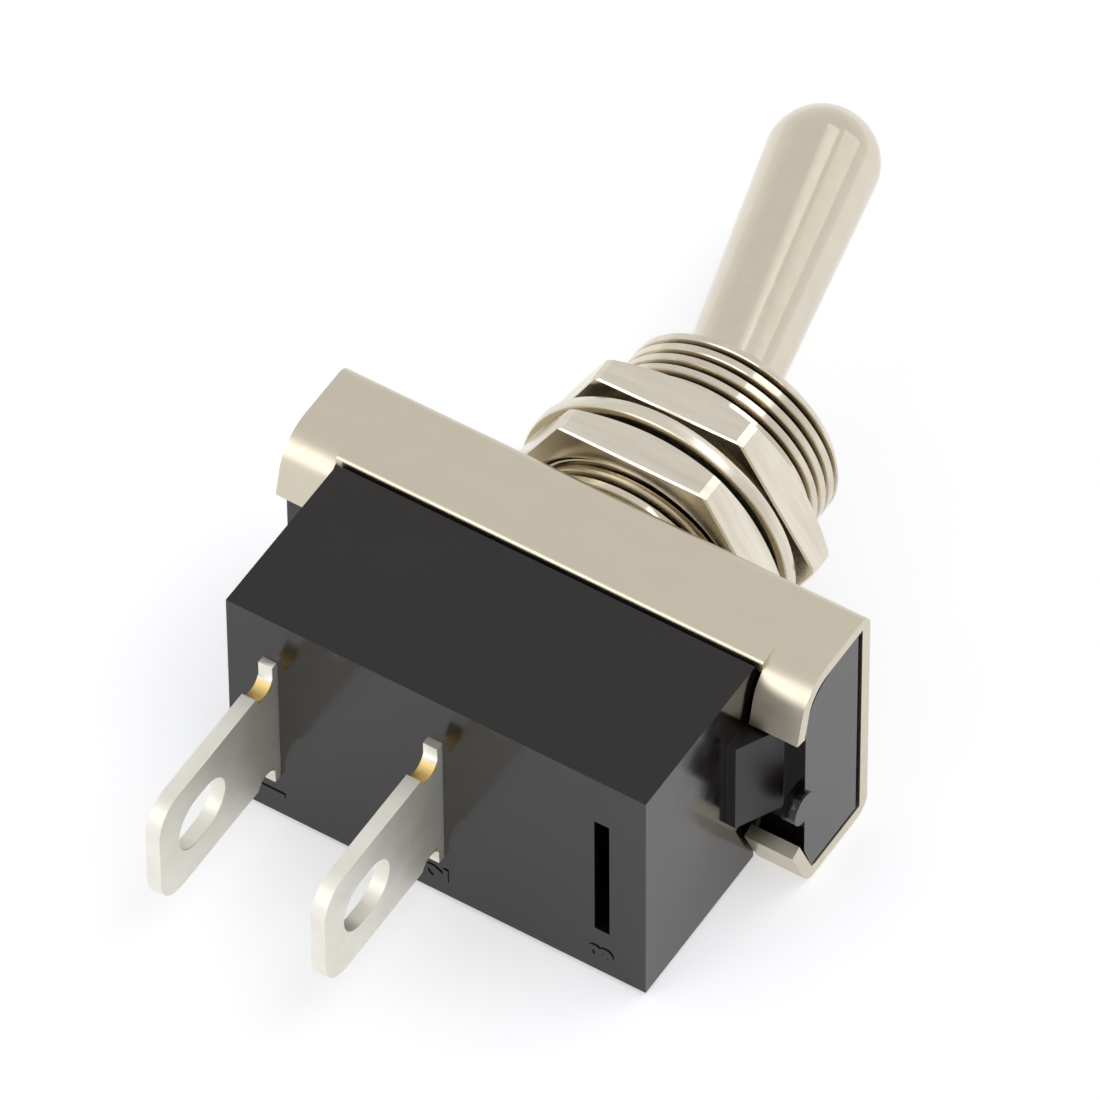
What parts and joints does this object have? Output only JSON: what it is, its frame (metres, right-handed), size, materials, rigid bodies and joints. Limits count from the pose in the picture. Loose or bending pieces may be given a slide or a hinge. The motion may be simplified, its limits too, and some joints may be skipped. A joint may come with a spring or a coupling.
{
  "type": "panel toggle switch",
  "caption": "Bat-handle toggle switch with threaded panel bushing, hexagon nuts and washer, folded steel frame, black moulded housing and flat solder lugs.",
  "frame": {"origin": "on the bushing's axis, at the outer face of the steel frame", "axes": "+Z along the bushing towards the lever; X along the row of lugs, with the lug beside the centre one on the -X side; Y across the frame's flanges"},
  "size_m": [0.0295, 0.0152, 0.057],
  "materials": {
    "frame_steel": "satin nickel plate",
    "phenolic": "glossy black moulding",
    "fibre": "vulcanised fibre",
    "nickel_brass": "bright nickel plate",
    "lever_nickel": "bright nickel plate",
    "pin_steel": "ground",
    "plunger_nylon": "natural nylon",
    "spring_steel": "drawn wire",
    "contact_brass": "stamped",
    "contact_silver": "silver",
    "lug_brass": "silver plated brass"
  },
  "bodies": {
    "body": {"frame": "frame_steel", "housing": "phenolic", "insulator": "fibre", "bushing": "nickel_brass", "lever_pin": "pin_steel", "fixed_contact": "contact_silver", "common_lug": "lug_brass", "switched_lug": "lug_brass"},
    "lever": {"lever": "lever_nickel", "plunger_spring": "spring_steel"},
    "plunger": {"plunger": "plunger_nylon"},
    "contact_arm": {"contact_arm": "contact_brass", "moving_contact": "contact_silver"},
    "back_nut": {"back_nut": "nickel_brass"},
    "washer": {"washer": "nickel_brass"},
    "front_nut": {"front_nut": "nickel_brass"}
  },
  "joints": [
    {"name": "lever_swing", "type": "hinge", "parent": "body", "child": "lever", "pos_m": [0, 0, 0.0065], "axis": [0, 1, 0], "range_deg": [0, 27]},
    {"name": "contact_arm_swing", "type": "hinge", "parent": "body", "child": "contact_arm", "pos_m": [0, 0, -0.0082], "axis": [0, 1, 0], "range_deg": [-13.5, 0]},
    {"name": "plunger_slide", "type": "slide", "parent": "lever", "child": "plunger", "axis": [-0.2334, 0, 0.9724], "range_m": [0, 0.0008], "stiffness_N_per_m": 300, "springref_m": -0.001, "deforming": ["plunger_spring"]},
    {"name": "washer_slide", "type": "slide", "parent": "body", "child": "washer", "axis": [0, 0, 1], "range_m": [0, 0.00375]},
    {"name": "front_nut_turn", "type": "hinge", "parent": "washer", "child": "front_nut", "pos_m": [0, 0, 0.0056], "axis": [0, 0, 1], "range_deg": [0, 1800]},
    {"name": "back_nut_turn", "type": "hinge", "parent": "body", "child": "back_nut", "pos_m": [0, 0, 0.00195], "axis": [0, 0, 1], "range_deg": [-1080, 0]}
  ],
  "couplings": [
    {"joint": "contact_arm_swing", "follows": "lever_swing", "ratio": -0.5},
    {"joint": "front_nut_turn", "follows": "washer_slide", "rad_per_m": 8377.6}
  ]
}
